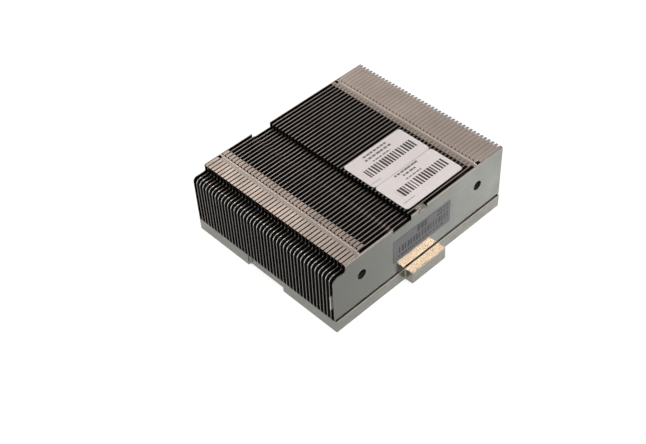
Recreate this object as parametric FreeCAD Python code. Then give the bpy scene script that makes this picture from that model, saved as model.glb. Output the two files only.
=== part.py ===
import FreeCAD, Part
import math
import os

# Passive heatsink: a machined base plate that carries a stack of thin sheets.
# X runs across the stack, Y along the air flow with the front at -Y, Z up.
# The origin is the centre of the base plate's underside.
# Every sheet is stamped and folded from flat metal. Its flanges point towards -X
# and close the gap to the sheet before it.

Vec = FreeCAD.Vector

# Base plate
base_length = 112.0
base_width = 95.3
base_thickness = 7.1
recess_width = 24.4
recess_depth = 1.5
recess_radius = 1.0
lug_width = 22.5
lug_reach = 4.65
lug_radius = 0.8

# Stack of sheets; the margin is the strip of base that shows beside it
fin_count = 41
sheet = 0.4
stack_margin = 0.62
end_overhang = 0.4
stack_height = 31.0
fold_gap = 0.03
fold_depth = 1.0

# Outline of a sheet, seen from the side
ledge_height = 27.1
ledge_length = 7.6
front_radius = 2.4
step_radius = 0.8
notch_start = 37.4
notch_length = 11.8
notch_depth = 2.8
rear_setback = 0.2
rear_cut_length = 2.2
rear_cut_height = 2.4

# Bends of the flanges. Those at the front also stop short of the sheet before, which
# leaves an open groove; those at the rear are pressed up tight.
front_bend = 0.3
front_gap = 0.35
rear_bend = 0.15
foot_bend = 0.5

# Rows of locks, one near each end of the sheets and both stamped alike. A lock is a gap
# between two flanges that the tab of the sheet before fills one sheet lower, and a
# wedge-shaped window in the free edge behind it. Sizes count from the middle of the
# row, "ahead" towards the front and "behind" towards the rear.
lock_offset = 38.9
lock_start_ahead = 2.1
lock_end_ahead = 0.5
window_start_behind = 0.35
window_end_behind = 1.35
window_width = 1.4
front_window_tip = 0.4
slit_start_behind = 1.9
tab_root_ahead = 2.3
tab_root_behind = 0.3
tab_tip_ahead = 2.2
pad_reach = 4.4
rear_pad_gap = 0.15
snip_width = 0.7
snip_length = 2.4
tongue_taper = 0.3

# Right end plate
plate_bend = 0.8
plate_relief = 2.6
rear_plate_relief = 2.0
foot_relief = 1.0
hole_diameter = 5.2
hole_offset = 38.9
hole_height = 17.8
lip_centre = 0.9
lip_length = 5.0
lip_drop = 1.6
lip_slot_width = 0.6
lip_slot_depth = 0.7

# Paper labels
paper = 0.1
top_label_width = 20.3
top_label_length = 38.1
top_label_start = 50.6
top_label_inset = 3.8
top_label_gap = 0.2
top_label_radius = 1.5
side_label_length = 38.4
side_label_height = 13.9
side_label_start = 37.55
side_label_bottom = 8.4
side_label_radius = 0.6

# Quarter rounds that are small, or repeat on every sheet, are drawn as a few flats
round_flat_count = 3
bend_flat_count = 2
rear_bend_flat_count = 1
ARC = 0

# Places that follow from the sizes above
front = -base_length / 2 - end_overhang
rear = -front
top = base_thickness + stack_height
ledge = base_thickness + ledge_height
step = front + ledge_length
notch_front = front + notch_start
notch_rear = notch_front + notch_length
stack_right = base_width / 2 - stack_margin
stack_left = -stack_right
pitch = (stack_right - stack_left - sheet) / (fin_count + 1)
fold_line = top - fold_depth
front_row = -lock_offset
rear_row = lock_offset


def round_corner(corner, before, after, radius, flats):
    """Points along the round that replaces a corner: both ends and what lies between."""
    back = (before - corner).normalize()
    ahead = (after - corner).normalize()
    half_angle = back.getAngle(ahead) / 2
    centre = corner + (back + ahead).normalize() * (radius / math.sin(half_angle))
    first = corner + back * (radius / math.tan(half_angle)) - centre
    last = corner + ahead * (radius / math.tan(half_angle)) - centre
    sweep = first.getAngle(last)
    points = []
    for i in range(flats + 1):
        part = sweep * i / flats
        spoke = first * math.sin(sweep - part) + last * math.sin(part)
        points.append(centre + spoke / math.sin(sweep))
    return points


def rounded_wire(corners, place, flats):
    """A closed wire through (u, v, radius) corners; place(u, v) is the point in space.

    A corner with a radius becomes that many flats, or a true arc where flats is ARC.
    """
    flat_corners = [Vec(u, v, 0) for u, v, _ in corners]
    rounds = []
    for i, (_, _, radius) in enumerate(corners):
        corner = flat_corners[i]
        if radius == 0:
            rounds.append([corner])
            continue
        after = flat_corners[(i + 1) % len(corners)]
        rounds.append(round_corner(corner, flat_corners[i - 1], after, radius, flats or 2))
    edges = []
    end = place(rounds[-1][-1].x, rounds[-1][-1].y)
    for points in rounds:
        points = [place(p.x, p.y) for p in points]
        edges.append(Part.makeLine(end, points[0]))
        if len(points) > 1 and flats == ARC:
            edges.append(Part.Arc(*points).toShape())
        else:
            edges += [Part.makeLine(a, b) for a, b in zip(points, points[1:])]
        end = points[-1]
    return Part.Wire(edges)


def lying_slab(corners, z_bottom, thickness, flats=round_flat_count):
    """A flat piece that lies down, with its outline in (x, y)."""
    wire = rounded_wire(corners, lambda x, y: Vec(x, y, z_bottom), flats)
    return Part.Face(wire).extrude(Vec(0, 0, thickness))


def upright_slab(corners, x_left, thickness, flats=round_flat_count):
    """A flat piece that stands along the air flow, with its outline in (y, z)."""
    wire = rounded_wire(corners, lambda y, z: Vec(x_left, y, z), flats)
    return Part.Face(wire).extrude(Vec(thickness, 0, 0))


def rectangle(u_low, v_low, u_size, v_size, radius=0):
    return [
        (u_low, v_low, radius),
        (u_low + u_size, v_low, radius),
        (u_low + u_size, v_low + v_size, radius),
        (u_low, v_low + v_size, radius),
    ]


def fuse(pieces):
    return pieces[0].multiFuse(pieces[1:]).removeSplitter().Solids[0]


def base_plate():
    """Machined plate with a shallow recess in its front edge and a lug on each side."""
    end = base_length / 2
    side = base_width / 2
    recess_floor = -end + recess_depth
    right_half = [
        (recess_width / 2, recess_floor, recess_radius),
        (recess_width / 2, -end, 0),
        (side, -end, 0),
        (side, -lug_width / 2, lug_radius),
        (side + lug_reach, -lug_width / 2, 0),
        (side + lug_reach, lug_width / 2, 0),
        (side, lug_width / 2, lug_radius),
        (side, end, 0),
    ]
    left_half = [(-x, y, radius) for x, y, radius in reversed(right_half)]
    return lying_slab(right_half + left_half, 0, base_thickness)


def web(x_face, foot, stretches, flats, slope=0):
    """Upright part of a sheet whose right face is at x_face.

    Its top edge is a chain of (start, end, height) stretches from the step to the rear.
    Where they stop short of the rear, the edge slopes down from there by that height.
    """
    corners = [
        (rear, foot, 0),
        (front, foot, 0),
        (front, ledge, front_radius),
        (step, ledge, step_radius),
    ]
    for start, end, height in stretches:
        corners += [(start, height, 0), (end, height, 0)]
    if slope > 0:
        corners.append((rear, height - slope, 0))
    return upright_slab(corners, x_face - sheet, sheet, flats)


def fold(x_face, start, end, outside, web_side, radius, flats):
    """Bend that joins a web to a flange, from start to end along Y.

    outside is the height of the flange's outer face. web_side is -1 where the web hangs
    below the flange and 1 where it stands on it.
    """
    across = x_face - radius - sheet
    web_end = outside + web_side * fold_depth
    inside = outside + web_side * sheet
    corners = [
        (x_face, web_end, 0),
        (x_face, outside, radius),
        (across, outside, 0),
        (across, inside, 0),
        (x_face - sheet, inside, 0),
        (x_face - sheet, web_end, 0),
    ]
    wire = rounded_wire(corners, lambda x, z: Vec(x, start, z), flats)
    return Part.Face(wire).extrude(Vec(0, end - start, 0))


def flange(x_face, start, end, bottom, radius, gap):
    """Flat part of a flange, from its bend to a gap short of the sheet before it."""
    reach = pitch - gap
    corners = rectangle(x_face - reach, start, reach - radius, end - start)
    return lying_slab(corners, bottom, sheet)


def top_flange(x_face, start, end, radius, free_edge, flats):
    """Flange along the top of a sheet, with its bend.

    free_edge lists (gap, y) points from the rear to the front; a gap counts from the
    sheet before.
    """
    corners = [(x_face - radius, start, 0), (x_face - radius, end, 0)]
    corners += [(x_face - pitch + gap, y, 0) for gap, y in free_edge]
    return [
        fold(x_face, start, end, top, -1, radius, flats),
        lying_slab(corners, top - sheet, sheet),
    ]


def window(row, tip):
    """Free edge of a flange around the window of a lock, from the rear to the front.

    tip is the width of the wedge at its narrow end.
    """
    narrow_end = [(window_width, row + window_start_behind)]
    if tip > 0:
        narrow_end.insert(0, (window_width, row + window_start_behind + tip))
    return [
        (fold_gap, row + window_end_behind),
        *narrow_end,
        (fold_gap, row + window_start_behind),
        (fold_gap, row - lock_end_ahead),
    ]


def front_flange(x_face, end, radius, flats):
    """Top flange from the step to the front row of locks."""
    free_edge = [(front_gap, end), (front_gap, step)]
    return top_flange(x_face, step, end, radius, free_edge, flats)


def front_pad(x_face):
    """Short top flange behind the front row of locks; an open slit parts its rear half."""
    end = front_row + pad_reach
    slit = front_row + slit_start_behind
    free_edge = [(front_gap, end), (front_gap, slit), (fold_gap, slit)]
    free_edge += window(front_row, front_window_tip)
    start = front_row - lock_end_ahead
    return top_flange(x_face, start, end, front_bend, free_edge, bend_flat_count)


def rear_pad(x_face):
    """Short top flange ahead of the rear row of locks."""
    start = rear_row - pad_reach
    end = rear_row - lock_start_ahead
    free_edge = [(rear_pad_gap, end), (rear_pad_gap, start)]
    return top_flange(x_face, start, end, rear_bend, free_edge, rear_bend_flat_count)


def rear_flange(x_face, start, bend_end, inner_edge, radius, flats):
    """Top flange to the rear, with its free corner snipped off.

    Its bend may stop short of its end, which then tapers on both sides. inner_edge is
    its free edge near the lock.
    """
    end = rear - rear_setback
    free_edge = [(fold_gap + snip_width, end), (fold_gap, end - snip_length)]
    if bend_end < end:
        free_edge.insert(0, (pitch - radius - tongue_taper, end))
    return top_flange(x_face, start, bend_end, radius, free_edge + inner_edge, flats)


def tab(x_face, row):
    """Tab that fills the lock of the next sheet, one sheet below its flanges."""
    tip = x_face + pitch - sheet - fold_gap
    corners = [
        (x_face, row - tab_root_ahead, 0),
        (tip, row - tab_tip_ahead, 0),
        (tip, row - lock_end_ahead, 0),
        (x_face, row + tab_root_behind, 0),
    ]
    return lying_slab(corners, top - 2 * sheet, sheet)


def fin(x_face):
    """One of the inner sheets."""
    front_pad_end = front_row + pad_reach
    rear_pad_start = rear_row - pad_reach
    stretches = [
        (step, front_row - lock_start_ahead, fold_line),
        (front_row - lock_start_ahead, front_row - lock_end_ahead, top - sheet),
        (front_row - lock_end_ahead, front_pad_end, fold_line),
        (front_pad_end, notch_front, top),
        (notch_front, notch_rear, top - notch_depth),
        (notch_rear, rear_pad_start, top),
        (rear_pad_start, rear_row - lock_start_ahead, fold_line),
        (rear_row - lock_start_ahead, rear_row - lock_end_ahead, top - sheet),
        (rear_row - lock_end_ahead, rear - rear_cut_length, fold_line),
    ]
    foot_reach = pitch - fold_gap
    foot = rectangle(x_face - foot_reach, front, foot_reach - sheet, rear - front)
    pieces = [web(x_face, base_thickness, stretches, round_flat_count, rear_cut_height)]
    pieces.append(lying_slab(foot, base_thickness, sheet))
    front_end = front_row - lock_start_ahead
    pieces += front_flange(x_face, front_end, front_bend, bend_flat_count)
    pieces += front_pad(x_face)
    pieces += rear_pad(x_face)
    pieces += rear_flange(
        x_face,
        rear_row - lock_end_ahead,
        rear - rear_cut_length,
        window(rear_row, 0),
        rear_bend,
        rear_bend_flat_count,
    )
    pieces += [tab(x_face, front_row), tab(x_face, rear_row)]
    return fuse(pieces)


def pierced(plate, x_face):
    """An end plate with its two round holes."""
    for side in (-1, 1):
        centre = Vec(x_face - sheet, side * hole_offset, base_thickness + hole_height)
        plate = plate.cut(Part.makeCylinder(hole_diameter / 2, sheet, centre, Vec(1, 0, 0)))
    return plate.Solids[0]


def left_end_plate():
    """Plain sheet that closes the stack on the left and stands on its edge."""
    x_face = stack_left + sheet
    stretches = [
        (step, notch_front, top),
        (notch_front, notch_rear, top - notch_depth),
        (notch_rear, rear - rear_setback, top),
        (rear - rear_setback, rear, fold_line),
    ]
    return pierced(web(x_face, base_thickness, stretches, ARC), x_face)


def right_end_plate():
    """Sheet that closes the stack on the right, with a lip that is folded in at mid length."""
    x_face = stack_right
    front_end = front_row - plate_relief
    rear_start = rear_row + rear_plate_relief
    foot_line = base_thickness + fold_depth
    lip_top = top - lip_drop
    lip_front = lip_centre - lip_length / 2
    lip_rear = lip_centre + lip_length / 2
    slot_front = lip_front - lip_slot_width
    stretches = [
        (step, front_end, fold_line),
        (front_end, notch_front, top),
        (notch_front, notch_rear, top - notch_depth),
        (notch_rear, slot_front, top),
        (slot_front, lip_front, lip_top - lip_slot_depth),
        (lip_front, lip_rear, lip_top - fold_depth),
        (lip_rear, rear_start, top),
        (rear_start, rear, fold_line),
    ]
    pieces = [web(x_face, foot_line, stretches, ARC)]
    pieces += front_flange(x_face, front_end, plate_bend, ARC)
    free_edge = [(fold_gap, rear_start)]
    flange_end = rear - rear_setback
    pieces += rear_flange(x_face, rear_start, flange_end, free_edge, plate_bend, ARC)
    pieces.append(fold(x_face, lip_front, lip_rear, lip_top, -1, foot_bend, ARC))
    pieces.append(flange(x_face, lip_front, lip_rear, lip_top - sheet, foot_bend, fold_gap))
    foot_stretches = [
        (front, -lock_offset - foot_relief),
        (-lock_offset + foot_relief, lock_offset - foot_relief),
        (lock_offset + foot_relief, rear),
    ]
    for start, end in foot_stretches:
        pieces.append(fold(x_face, start, end, base_thickness, 1, foot_bend, bend_flat_count))
        pieces.append(flange(x_face, start, end, base_thickness, foot_bend, fold_gap))
    return pierced(fuse(pieces), x_face)


def top_label(right_edge):
    corners = rectangle(
        right_edge - top_label_width,
        front + top_label_start,
        top_label_width,
        top_label_length,
        top_label_radius,
    )
    return lying_slab(corners, top, paper)


def side_label():
    corners = rectangle(
        front + side_label_start,
        base_thickness + side_label_bottom,
        side_label_length,
        side_label_height,
        side_label_radius,
    )
    return upright_slab(corners, stack_right, paper)


def heatsink():
    """All pieces by name."""
    first_face = stack_left + sheet + pitch
    one_fin = fin(first_face)
    outer_label_edge = stack_right - top_label_inset
    pieces = {
        "base_plate": base_plate(),
        "left_end_plate": left_end_plate(),
        "right_end_plate": right_end_plate(),
        "top_label_outer": top_label(outer_label_edge),
        "top_label_inner": top_label(outer_label_edge - top_label_width - top_label_gap),
        "side_label": side_label(),
    }
    for i in range(fin_count):
        copy = one_fin.copy()
        copy.translate(Vec(i * pitch, 0, 0))
        pieces[f"fin_{i + 1:02d}"] = copy
    return pieces


os.makedirs("parts", exist_ok=True)
for name, shape in heatsink().items():
    shape.exportStep(f"parts/{name}.step")
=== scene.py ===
import math

import bmesh
import bpy
from mathutils import Matrix, Vector


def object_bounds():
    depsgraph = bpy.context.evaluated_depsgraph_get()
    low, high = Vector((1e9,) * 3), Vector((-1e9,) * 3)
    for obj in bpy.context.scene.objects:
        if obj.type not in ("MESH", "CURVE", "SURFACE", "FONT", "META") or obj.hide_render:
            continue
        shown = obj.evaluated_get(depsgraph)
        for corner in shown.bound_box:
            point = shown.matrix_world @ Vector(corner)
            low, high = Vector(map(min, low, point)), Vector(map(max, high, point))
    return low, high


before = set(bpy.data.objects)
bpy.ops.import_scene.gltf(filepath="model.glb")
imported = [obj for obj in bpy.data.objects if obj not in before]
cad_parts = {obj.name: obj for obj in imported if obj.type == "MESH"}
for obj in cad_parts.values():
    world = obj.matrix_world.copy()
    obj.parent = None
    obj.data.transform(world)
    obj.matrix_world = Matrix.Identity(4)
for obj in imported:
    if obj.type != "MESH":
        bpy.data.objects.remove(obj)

cad_low, cad_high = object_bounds()

# ---------------------------------------------------------------------------
# Base plate. A thick aluminium plate, milled all over and nickel plated so
# that the fins can be soldered to it. The lug on each side takes a clip that
# holds the heatsink down.
# ---------------------------------------------------------------------------
MM = 0.001

# Sockets of a Mix node, which shares their names between values and colours
VALUE_A, VALUE_B, MIXED_VALUE = 2, 3, 0
COLOUR_A, COLOUR_B, MIXED_COLOUR = 6, 7, 2

# Milling and rolling marks. Real ones are a few hundredths of a millimetre wide; these
# are drawn five to ten times coarser, so that they show.
MARK_STRETCH = 40       # how many times as long as wide a mark is
CLOUD_SIZE = 14.0       # millimetres across a patch of tarnish


def srgb(code):
    """Linear colour with alpha of an sRGB hex value such as "8A8C86"."""
    channels = [int(code[i:i + 2], 16) / 255 for i in (0, 2, 4)]
    linear = [c / 12.92 if c <= 0.04045 else ((c + 0.055) / 1.055) ** 2.4 for c in channels]
    return (*linear, 1.0)


def add_node(owner, kind, inputs=None, **settings):
    """Adds a node. An input takes a constant, or is linked where its value is another socket."""
    node = owner.node_tree.nodes.new(kind)
    for name, value in settings.items():
        setattr(node, name, value)
    for name, value in (inputs or {}).items():
        if isinstance(value, bpy.types.NodeSocket):
            owner.node_tree.links.new(value, node.inputs[name])
        else:
            node.inputs[name].default_value = value
    return node


def new_material(name):
    """An empty material, its shader and the piece's own coordinates."""
    material = bpy.data.materials.new(name)
    material.use_nodes = True
    material.node_tree.nodes.clear()
    shader = add_node(material, "ShaderNodeBsdfPrincipled")
    add_node(material, "ShaderNodeOutputMaterial", {"Surface": shader.outputs["BSDF"]})
    place = add_node(material, "ShaderNodeTexCoord")
    return material, shader, place.outputs["Object"]


def finish_node(name, material):
    """Gives a piece of the frame its finish."""
    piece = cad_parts[name]
    for slot in piece.material_slots:
        slot.material = material


def worked_metal(name, light, dark, roughness, mark_width, mark_depth):
    """Bare metal with straight marks along the air flow and soft clouds of tarnish.

    The marks' width and depth are in millimetres. Returns the material and the piece's
    own coordinates.
    """
    material, shader, place = new_material(name)
    across_marks = 1 / (mark_width * MM)
    stretch = (across_marks, across_marks / MARK_STRETCH, across_marks)
    laid = add_node(material, "ShaderNodeMapping", {"Vector": place, "Scale": stretch})
    marks = add_node(
        material, "ShaderNodeTexNoise", {"Vector": laid.outputs["Vector"], "Scale": 1.0, "Detail": 3.0}
    )
    clouds = add_node(
        material, "ShaderNodeTexNoise", {"Vector": place, "Scale": 1 / (CLOUD_SIZE * MM), "Detail": 4.0}
    )
    both = add_node(
        material, "ShaderNodeMath", {0: marks.outputs["Fac"], 1: clouds.outputs["Fac"]}, operation="ADD"
    )
    wear = add_node(
        material, "ShaderNodeMapRange", {"Value": both.outputs["Value"], "From Min": 0.7, "From Max": 1.3}
    )
    colour = add_node(
        material,
        "ShaderNodeMix",
        {"Factor": wear.outputs["Result"], COLOUR_A: srgb(dark), COLOUR_B: srgb(light)},
        data_type="RGBA",
    )
    gloss = add_node(
        material,
        "ShaderNodeMapRange",
        {"Value": wear.outputs["Result"], "To Min": roughness * 1.25, "To Max": roughness * 0.8},
    )
    bump = add_node(
        material,
        "ShaderNodeBump",
        {"Height": marks.outputs["Fac"], "Distance": mark_depth * MM, "Strength": 0.5},
    )
    material.node_tree.links.new(colour.outputs[MIXED_COLOUR], shader.inputs["Base Color"])
    material.node_tree.links.new(gloss.outputs["Result"], shader.inputs["Roughness"])
    material.node_tree.links.new(bump.outputs["Normal"], shader.inputs["Normal"])
    shader.inputs["Metallic"].default_value = 1.0
    return material, place


def fade(place, bare, covered):
    """A fade from a place in millimetres where a stain is absent to one where it is full."""
    return [(place, bare * MM, covered * MM)]


def zone(place, start, full_from, full_to, end):
    """Fades that keep a stain between two places in millimetres, with soft borders."""
    return fade(place, start, full_from) + fade(place, end, full_to)


def stain(material, code, roughness, strength, fades):
    """Lays another colour and roughness over a finish.

    Each fade is a socket, the value at which it leaves the finish bare and the value at
    which it covers it; the stain shows where all of them cover.
    """
    shader = material.node_tree.nodes["Principled BSDF"]
    cover = strength
    for value, bare, covered in fades:
        share = add_node(
            material,
            "ShaderNodeMapRange",
            {"Value": value, "From Min": bare, "From Max": covered},
            interpolation_type="SMOOTHSTEP",
        )
        cover = add_node(
            material, "ShaderNodeMath", {0: share.outputs["Result"], 1: cover}, operation="MULTIPLY"
        ).outputs["Value"]
    finish = shader.inputs["Base Color"].links[0].from_socket
    gloss = shader.inputs["Roughness"].links[0].from_socket
    colour = add_node(
        material,
        "ShaderNodeMix",
        {"Factor": cover, COLOUR_A: finish, COLOUR_B: srgb(code)},
        data_type="RGBA",
    )
    dulled = add_node(
        material, "ShaderNodeMix", {"Factor": cover, VALUE_A: gloss, VALUE_B: roughness}
    )
    material.node_tree.links.new(colour.outputs[MIXED_COLOUR], shader.inputs["Base Color"])
    material.node_tree.links.new(dulled.outputs[MIXED_VALUE], shader.inputs["Roughness"])


# Milled and nickel plated: a warm grey that mirrors softly, with fine straight lines
plated_base, place = worked_metal(
    "nickel_plated_base", "95958F", "85857F", roughness=0.26, mark_width=0.25, mark_depth=0.0004
)
across, along, height = add_node(plated_base, "ShaderNodeSeparateXYZ", {"Vector": place}).outputs

# Painted shade: a little darker towards the front
SHADE_FROM_REAR, SHADE_AT_FRONT = 40, -60
stain(plated_base, "70726C", 0.3, 0.6, fade(along, SHADE_FROM_REAR, SHADE_AT_FRONT))

# Painted highlights: the upper edge and the front right corner show as bright lines where the edges would
# catch the light
UPPER_EDGE = (6.8, 6.95)
CORNER_SIDE, CORNER_FRONT = (47.35, 47.5), (-56.05, -56.2)
stain(plated_base, "E4E0D8", 0.3, 0.75, fade(height, *UPPER_EDGE))
stain(plated_base, "E4E0D8", 0.3, 0.6, fade(across, *CORNER_SIDE) + fade(along, *CORNER_FRONT))

# The top of the right lug is smoother than the rest; its warm sheen is a painted highlight
LUG_TOP, LUG_ROOT = (6.8, 7.05), (47.6, 47.8)
stain(plated_base, "D6C4B2", 0.24, 0.9, fade(height, *LUG_TOP) + fade(across, *LUG_ROOT))

# Small brown specks, cut from the peaks of a pattern of this spacing in millimetres
SPECK_SPACING = 1.1
SPECK_EDGE, SPECK_CORE = 0.66, 0.72
pits = add_node(
    plated_base, "ShaderNodeTexNoise", {"Vector": place, "Scale": 1 / (SPECK_SPACING * MM), "Detail": 2.0}
)
stain(plated_base, "5E5042", 0.5, 0.85, [(pits.outputs["Fac"], SPECK_EDGE, SPECK_CORE)])

# A dark line along the foot of the right end plate: partly the solder fillet, partly painted shade for
# the bend at the plate's foot
FOOT_HEIGHT, FOOT_STRIP = (7.0, 7.06), (46.8, 47.0, 47.5, 47.65)
stain(plated_base, "463628", 0.5, 0.85, fade(height, *FOOT_HEIGHT) + zone(across, *FOOT_STRIP))
finish_node("base_plate", plated_base)

# ---------------------------------------------------------------------------
# Fins. Aluminium sheet 0.4 mm thick, stamped and folded, with a flange along
# the top at each end. Two rows of tabs lock them together, and their feet are
# soldered to the base plate.
# ---------------------------------------------------------------------------
# As rolled: a pale grey metal, half dull, with fine lines along the fins
rolled_fin, place = worked_metal(
    "rolled_aluminium_fin", "A79F99", "99918B", roughness=0.3, mark_width=0.2, mark_depth=0.001
)
across, along, height = add_node(rolled_fin, "ShaderNodeSeparateXYZ", {"Vector": place}).outputs

# Zones along the air flow, as start, full from, full to and end, in millimetres
FRONT_LOCKS = (-41.6, -41.1, -39.6, -39.3)
FRONT_LOCK_EDGES = (-39.62, -39.45, -39.35, -39.2)
FRONT_PADS = (-39.0, -38.6, -34.4, -34.2)
FRONT_PAD_JOINTS = (-37.8, -37.2, -34.6, -34.3)
BARE_EDGES = (-34.7, -34.3, 34.3, 34.7)
REAR_PADS = (34.2, 34.4, 37.8, 38.0)
REAR_PAD_JOINTS = (34.3, 34.6, 36.9, 37.4)
REAR_LOCK_EDGES = (38.15, 38.3, 38.5, 38.65)

# Borders that a stain crosses once, as the place where it is absent and where it is full
FRONT_FLANGE_JOINTS = (-41.1, -41.4)
REAR_FLANGE_JOINTS = (40.5, 42.0)
REAR_TIPS = (54.0, 55.0)
FLANGE_TOPS = (36.9, 37.2)
STEP_HEIGHT, STEP = (37.0, 36.4), (-48.0, -49.5)
BEND_HEIGHT, BEND = (31.8, 33.0), (-52.6, -53.6)

# Painted shade in the narrow grooves where the flange of one fin meets the next
FIN_PITCH = 2.23
FIRST_JOINT = -46.60
JOINT_EDGE, JOINT_CORE = 0.18, 0.12     # as shares of the pitch
counted = add_node(
    rolled_fin,
    "ShaderNodeMath",
    {0: across, 1: 1 / (FIN_PITCH * MM), 2: -FIRST_JOINT / FIN_PITCH},
    operation="MULTIPLY_ADD",
)
from_joint = add_node(
    rolled_fin, "ShaderNodeMath", {0: counted.outputs["Value"], 1: 0.5}, operation="PINGPONG"
)
on_top = fade(height, *FLANGE_TOPS)
joint_shade = [(from_joint.outputs["Value"], JOINT_EDGE, JOINT_CORE)] + on_top
stain(rolled_fin, "2E2620", 0.5, 0.85, joint_shade + fade(along, *FRONT_FLANGE_JOINTS))
stain(rolled_fin, "2E2620", 0.5, 0.7, joint_shade + zone(along, *FRONT_PAD_JOINTS))
stain(rolled_fin, "3A322C", 0.45, 0.55, joint_shade + zone(along, *REAR_PAD_JOINTS))
stain(rolled_fin, "5A5048", 0.4, 0.2, joint_shade + fade(along, *REAR_FLANGE_JOINTS))

# Painted highlights on the cut edges at the locks. The tabs between them lie lower and are a little
# duller, and their darker tone is painted shade
stain(rolled_fin, "F4EEE8", 0.5, 1.0, zone(along, *REAR_LOCK_EDGES))
stain(rolled_fin, "8A8683", 0.35, 0.8, zone(along, *FRONT_LOCKS))
stain(rolled_fin, "F4EEE8", 0.5, 1.0, zone(along, *FRONT_LOCK_EDGES))

# Painted shade with a cool cast on the bare upper edges between the two rows of locks, darker and a
# little blue
stain(rolled_fin, "6C757E", 0.38, 0.36, zone(along, *BARE_EDGES))

# The front edges and the step are darker with painted shade, and the bend below the step is brighter with
# a painted highlight
stain(rolled_fin, "6A6866", 0.4, 0.75, fade(height, *STEP_HEIGHT) + fade(along, *STEP))
stain(rolled_fin, "F4F4F4", 0.28, 0.6, fade(height, *BEND_HEIGHT) + fade(along, *BEND))

# The rear tips of the flanges are cooler and duller
stain(rolled_fin, "8E989E", 0.4, 0.7, fade(along, *REAR_TIPS))

# The short flanges beside the locks are darker on top
stain(rolled_fin, "6E6660", 0.35, 0.35, on_top + zone(along, *FRONT_PADS))
stain(rolled_fin, "6E6660", 0.35, 0.35, on_top + zone(along, *REAR_PADS))

# Painted light: paler where the holes of the right end plate lay the outermost fin open, so that they
# show it and do not look black
LAST_FIN = (44.3, 44.5)
BEHIND_HOLES = (13.0, 14.0, 22.0, 23.0)
stain(rolled_fin, "D8DCD4", 0.7, 1.0, fade(across, *LAST_FIN) + zone(height, *BEHIND_HOLES))
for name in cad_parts:
    if name.startswith("fin_"):
        finish_node(name, rolled_fin)

# ---------------------------------------------------------------------------
# End plates. The same sheet, but smoother and on show. They close the stack on
# both sides; the right one has flanges, the left one stands on its edge.
# ---------------------------------------------------------------------------
# Bright rolled: a grey with a green cast, smooth enough to mirror the lug
rolled_plate, place = worked_metal(
    "rolled_aluminium_plate", "91948F", "80837F", roughness=0.17, mark_width=0.3, mark_depth=0.0006
)
across, along, height = add_node(rolled_plate, "ShaderNodeSeparateXYZ", {"Vector": place}).outputs

# Painted shade: darker towards the front, as the base plate is
PLATE_SHADE_FROM_REAR = 50
stain(rolled_plate, "62645F", 0.18, 0.9, fade(along, PLATE_SHADE_FROM_REAR, SHADE_AT_FRONT))

# The flanges on top are as dull as those of the fins; their paler, warm tone is painted light from above
PLATE_TOP = (37.0, 37.5)
stain(rolled_plate, "A29B96", 0.32, 1.0, fade(height, *PLATE_TOP))
for name in ("left_end_plate", "right_end_plate"):
    finish_node(name, rolled_plate)

# ---------------------------------------------------------------------------
# Labels. Two white paper labels lie on top of the fins, and a grey film is on
# the right end plate. Each is die cut, stuck on and printed with plain bars.
# ---------------------------------------------------------------------------
FIBRE_SIZE = 2.5        # millimetres across the faint clouds in the stock
ROW_SHIFT = 7           # sets the rows of bars apart, so that no row repeats another


def ink_bars(material, across, along, field):
    """1 where a field is inked: a rectangle ruled with one bar of chance width per step.

    A field is its two limits across the row of bars, its two limits along it, the step,
    the least and the greatest inked share of a step and the strength; lengths are in
    millimetres.
    """
    across_low, across_high, along_low, along_high, step, least, most, strength = field
    across_inside, along_inside = [
        add_node(
            material,
            "ShaderNodeMath",
            {0: place, 1: (low + high) / 2 * MM, 2: (high - low) / 2 * MM},
            operation="COMPARE",
        ).outputs["Value"]
        for place, low, high in ((across, across_low, across_high), (along, along_low, along_high))
    ]
    counted = add_node(
        material,
        "ShaderNodeMath",
        {0: along, 1: 1 / (step * MM), 2: across_low * ROW_SHIFT},
        operation="MULTIPLY_ADD",
    ).outputs["Value"]
    whole, part = [
        add_node(material, "ShaderNodeMath", {0: counted}, operation=way).outputs["Value"]
        for way in ("FLOOR", "FRACT")
    ]
    chance = add_node(material, "ShaderNodeTexWhiteNoise", {"W": whole}, noise_dimensions="1D")
    width = add_node(
        material,
        "ShaderNodeMath",
        {0: chance.outputs["Value"], 1: most - least, 2: least},
        operation="MULTIPLY_ADD",
    )
    inked = add_node(
        material, "ShaderNodeMath", {0: part, 1: width.outputs["Value"]}, operation="LESS_THAN"
    ).outputs["Value"]
    for factor in (across_inside, along_inside, strength):
        inked = add_node(
            material, "ShaderNodeMath", {0: inked, 1: factor}, operation="MULTIPLY"
        ).outputs["Value"]
    return inked


def printed_label(name, light, dark, ink, roughness, across, fields):
    """Paper or film, faintly uneven where it lies on the metal, with fields of plain bars.

    across is the axis across the rows of bars, which run along the air flow.
    """
    material, shader, place = new_material(name)
    fibres = add_node(
        material, "ShaderNodeTexNoise", {"Vector": place, "Scale": 1 / (FIBRE_SIZE * MM), "Detail": 5.0}
    )
    stock = add_node(
        material,
        "ShaderNodeMix",
        {"Factor": fibres.outputs["Fac"], COLOUR_A: srgb(dark), COLOUR_B: srgb(light)},
        data_type="RGBA",
    )
    axes = add_node(material, "ShaderNodeSeparateXYZ", {"Vector": place})
    printed = 0.0
    for field in fields:
        bars = ink_bars(material, axes.outputs[across], axes.outputs["Y"], field)
        printed = add_node(
            material, "ShaderNodeMath", {0: printed, 1: bars}, operation="MAXIMUM"
        ).outputs["Value"]
    colour = add_node(
        material,
        "ShaderNodeMix",
        {"Factor": printed, COLOUR_A: stock.outputs[MIXED_COLOUR], COLOUR_B: srgb(ink)},
        data_type="RGBA",
    )
    material.node_tree.links.new(colour.outputs[MIXED_COLOUR], shader.inputs["Base Color"])
    shader.inputs["Roughness"].default_value = roughness
    return material


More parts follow.
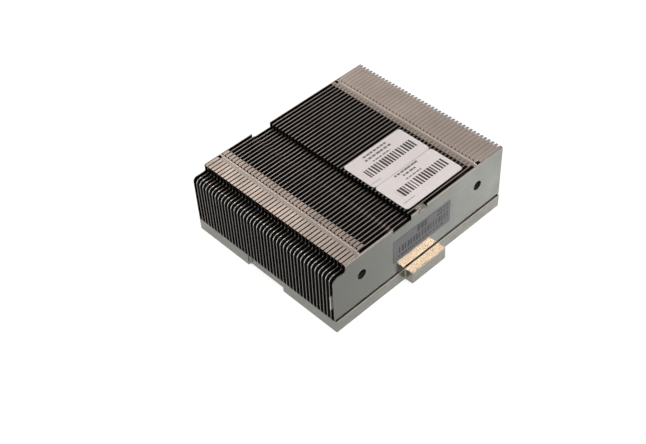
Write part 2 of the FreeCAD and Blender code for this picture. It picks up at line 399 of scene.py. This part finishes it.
# Fields of bars: limits across, limits along, step, least and greatest share, strength.
# The steps are coarser than real print, which would blur to an even grey.
OUTER_PRINT = (
    (31.0, 36.7, -1.2, 30.4, 1.8, 0.36, 0.76, 1.0),
    (23.8, 24.9, 6.0, 21.3, 2.3, 0.7, 0.95, 0.85),
    (26.1, 27.2, 9.4, 17.6, 2.6, 0.7, 0.95, 0.85),
    (28.8, 29.7, 8.6, 18.8, 2.4, 0.7, 0.95, 0.7),
    (39.1, 39.8, -4.0, 3.2, 1.9, 0.7, 0.95, 0.4),
)
INNER_PRINT = (
    (11.3, 17.0, -1.6, 29.6, 1.8, 0.36, 0.76, 1.0),
    (4.1, 5.2, 5.2, 20.6, 2.3, 0.7, 0.95, 0.85),
    (6.5, 7.7, 4.4, 21.4, 2.6, 0.7, 0.95, 0.85),
    (9.2, 10.2, 7.0, 18.6, 2.4, 0.7, 0.95, 0.7),
    (19.9, 20.6, -5.2, 1.6, 1.9, 0.7, 0.95, 0.35),
)
SIDE_PRINT = (
    (20.0, 23.9, -15.6, 17.8, 1.9, 0.4, 0.85, 1.0),
    (17.4, 18.6, -15.6, 15.0, 2.4, 0.6, 0.95, 0.85),
    (24.9, 28.9, -3.0, 4.2, 2.4, 0.55, 0.85, 1.0),
    (25.0, 26.2, 10.4, 18.0, 2.4, 0.6, 0.95, 0.85),
    (27.3, 28.4, 10.4, 18.4, 2.1, 0.6, 0.95, 0.85),
)

# Matt coated paper, a slightly pink white, printed in dark grey
for name, fields in (("top_label_outer", OUTER_PRINT), ("top_label_inner", INNER_PRINT)):
    paper = printed_label(name + "_paper", "EFEAEA", "E5DFDF", "3C3638", 0.55, "X", fields)
    finish_node(name, paper)

# Satin film, a cool mid grey with a low sheen, printed in near black
grey_film = printed_label("side_label_film", "6E7075", "64656B", "16161C", 0.4, "Z", SIDE_PRINT)
finish_node("side_label", grey_film)

# ---------------------------------------------------------------------------
# Studio. A pale floor under a pale surround, five soft boxes, a small lamp
# for the lug, and the camera on a stand above the front right corner.
# ---------------------------------------------------------------------------
FLOOR_SIZE = 6.0
floor_mesh = bpy.data.meshes.new("floor")
shape = bmesh.new()
bmesh.ops.create_grid(shape, x_segments=1, y_segments=1, size=FLOOR_SIZE / 2)
bmesh.ops.translate(shape, verts=shape.verts, vec=(0, 0, cad_low.z))
shape.to_mesh(floor_mesh)
shape.free()
floor = bpy.data.objects.new("floor", floor_mesh)
bpy.context.scene.collection.objects.link(floor)


def seen_directly(owner):
    """1 where the camera, or a reflection, looks at this surface, and 0 where it only gives light."""
    path = add_node(owner, "ShaderNodeLightPath")
    mirrored = add_node(
        owner,
        "ShaderNodeMath",
        {0: path.outputs["Is Glossy Ray"], 1: path.outputs["Is Transmission Ray"]},
        operation="MAXIMUM",
    )
    return add_node(
        owner,
        "ShaderNodeMath",
        {0: path.outputs["Is Camera Ray"], 1: mirrored.outputs["Value"]},
        operation="MAXIMUM",
    ).outputs["Value"]


# Matt white paint that keeps the shadow and pales to full white away from the object
SHADED_FLOOR, WHITE_FLOOR = 0.2, 1.5        # metres from the object
floor_paint = bpy.data.materials.new("floor_paint")
floor_paint.use_nodes = True
floor_paint.node_tree.nodes.clear()
spot = add_node(floor_paint, "ShaderNodeTexCoord")
away = add_node(floor_paint, "ShaderNodeVectorMath", {0: spot.outputs["Object"]}, operation="LENGTH")
paleness = add_node(
    floor_paint,
    "ShaderNodeMapRange",
    {
        "Value": away.outputs["Value"],
        "From Min": SHADED_FLOOR,
        "From Max": WHITE_FLOOR,
        "To Min": 0.56,
        "To Max": 1.0,
    },
)
matt = add_node(floor_paint, "ShaderNodeBsdfDiffuse", {"Color": srgb("F0F0F0")})
glow = add_node(
    floor_paint,
    "ShaderNodeEmission",
    {"Color": srgb("FFFFFF"), "Strength": paleness.outputs["Result"]},
)
lifted = add_node(
    floor_paint, "ShaderNodeAddShader", {0: matt.outputs["BSDF"], 1: glow.outputs["Emission"]}
)
paint = add_node(
    floor_paint,
    "ShaderNodeMixShader",
    {0: seen_directly(floor_paint), 1: matt.outputs["BSDF"], 2: lifted.outputs["Shader"]},
)
add_node(floor_paint, "ShaderNodeOutputMaterial", {"Surface": paint.outputs["Shader"]})
floor.data.materials.append(floor_paint)

# A soft grey surround, white only in the band just above the floor's edge
SURROUND_STRENGTH = 0.34
BAND_TOP, BAND_BOTTOM = 0.22, 0.06          # sines of the angle above the horizon
surround = bpy.data.worlds.new("studio")
bpy.context.scene.world = surround
surround.use_nodes = True
surround.node_tree.nodes.clear()
facing = add_node(surround, "ShaderNodeTexCoord")
rise = add_node(surround, "ShaderNodeSeparateXYZ", {"Vector": facing.outputs["Generated"]})
band = add_node(
    surround,
    "ShaderNodeMapRange",
    {"Value": rise.outputs["Z"], "From Min": BAND_TOP, "From Max": BAND_BOTTOM},
    interpolation_type="SMOOTHSTEP",
)
shown = add_node(
    surround,
    "ShaderNodeMath",
    {0: seen_directly(surround), 1: band.outputs["Result"]},
    operation="MULTIPLY",
)
brightness = add_node(
    surround,
    "ShaderNodeMapRange",
    {"Value": shown.outputs["Value"], "To Min": SURROUND_STRENGTH, "To Max": 1.0},
)
backdrop = add_node(
    surround,
    "ShaderNodeBackground",
    {"Color": srgb("FFFFFF"), "Strength": brightness.outputs["Result"]},
)
add_node(surround, "ShaderNodeOutputWorld", {"Surface": backdrop.outputs["Background"]})


def direction(azimuth, elevation):
    """Unit vector towards a place around the object. Azimuth 0 is in front, 90 to its right."""
    return Vector(
        (
            math.sin(azimuth) * math.cos(elevation),
            -math.cos(azimuth) * math.cos(elevation),
            math.sin(elevation),
        )
    )


def soft_lamp(name, target, azimuth, elevation, distance, size, power, colour):
    """A square soft box aimed at a target. Angles in degrees, lengths in metres, power in watts."""
    data = bpy.data.lights.new(name, "AREA")
    data.shape = "SQUARE"
    data.size = size
    data.energy = power
    data.color = colour
    lamp = bpy.data.objects.new(name, data)
    away = direction(math.radians(azimuth), math.radians(elevation))
    lamp.location = target + away * distance
    lamp.rotation_mode = "QUATERNION"
    lamp.rotation_quaternion = away.to_track_quat("Z", "Y")
    bpy.context.scene.collection.objects.link(lamp)
    return lamp


middle = (cad_low + cad_high) / 2
right_lug = Vector((50.0, 0.0, 7.0)) * MM
soft_lamp("left_lamp", middle, 248, 43, 0.9, 0.36, 0.78, (1.0, 0.88, 0.8))
soft_lamp("far_left_lamp", middle, 218, 41, 0.9, 0.5, 0.6, (1.0, 0.87, 0.79))
soft_lamp("front_lamp", middle, 320, 34, 0.9, 0.36, 0.4, (0.95, 0.99, 1.0))
soft_lamp("rear_lamp", middle, 134, 49, 0.9, 0.4, 0.45, (1.0, 0.85, 0.75))
lug_lamp = soft_lamp("lug_lamp", right_lug, 132, 45, 0.32, 0.09, 0.0043, (1.0, 0.88, 0.8))
lug_lamp.data.spread = math.radians(13)
soft_lamp("high_lamp", middle, 30, 65, 1.0, 0.5, 3.05, (1.0, 0.97, 0.96))

AZIMUTH, ELEVATION, ROLL = math.radians(48.31), math.radians(45.29), math.radians(-3.44)
DISTANCE = 514.5 * MM
aim = Vector((7.85, -25.0, 20.0)) * MM
back = direction(AZIMUTH, ELEVATION)
camera_data = bpy.data.cameras.new("camera")
camera_data.lens = 61.4
camera_data.clip_start = 0.01
camera = bpy.data.objects.new("camera", camera_data)
turn = back.to_track_quat("Z", "Y").to_matrix().to_4x4() @ Matrix.Rotation(ROLL, 4, "Z")
camera.matrix_world = Matrix.Translation(aim + back * DISTANCE) @ turn
bpy.context.scene.collection.objects.link(camera)
bpy.context.scene.camera = camera
bpy.context.scene.view_settings.view_transform = "Standard"
